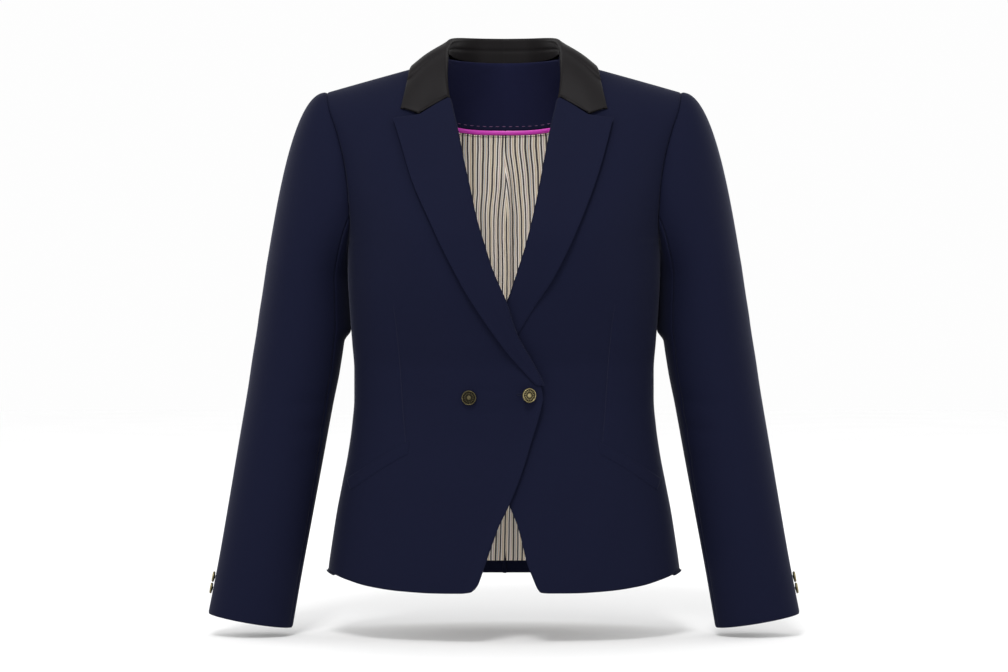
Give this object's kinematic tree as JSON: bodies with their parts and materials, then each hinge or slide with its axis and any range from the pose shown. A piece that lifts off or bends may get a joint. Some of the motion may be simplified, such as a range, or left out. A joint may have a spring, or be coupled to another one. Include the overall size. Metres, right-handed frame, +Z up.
{
  "type": "double-breasted blazer",
  "caption": "Short double-breasted blazer held open as if worn, with peak lapels, a contrasting collar, welt pockets and long two-piece sleeves.",
  "frame": {"origin": "the worn position: midway between the two neck points, where the shoulder seams meet the neck", "axes": "+X to the wearer's left, +Y to the wearer's back, so the garment faces -Y, and +Z up"},
  "size_m": [0.668, 0.2556, 0.6759],
  "materials": {
    "navy_wool": "fine navy twill, matt",
    "collar_satin": "black satin, soft sheen",
    "striped_lining": "smooth cream lining with fine dark stripes",
    "satin_piping": "bright magenta satin",
    "antique_brass": "aged brass, soft gloss"
  },
  "bodies": {
    "root": {"back_left": "navy_wool", "back_neck_facing": "navy_wool", "back_right": "navy_wool", "collar": "collar_satin", "front_button_edge": "antique_brass", "front_button_outer": "antique_brass", "front_left": "navy_wool", "front_right": "navy_wool", "lapel_left": "navy_wool", "lapel_right": "navy_wool", "lining_back": "striped_lining", "neck_piping": "satin_piping", "pocket_welt_left": "navy_wool", "pocket_welt_right": "navy_wool", "sleeve_button_lower_left": "antique_brass", "sleeve_button_lower_right": "antique_brass", "sleeve_button_upper_left": "antique_brass", "sleeve_button_upper_right": "antique_brass", "top_sleeve_left": "navy_wool", "top_sleeve_right": "navy_wool", "under_sleeve_left": "navy_wool", "under_sleeve_right": "navy_wool"}
  },
  "joints": []
}
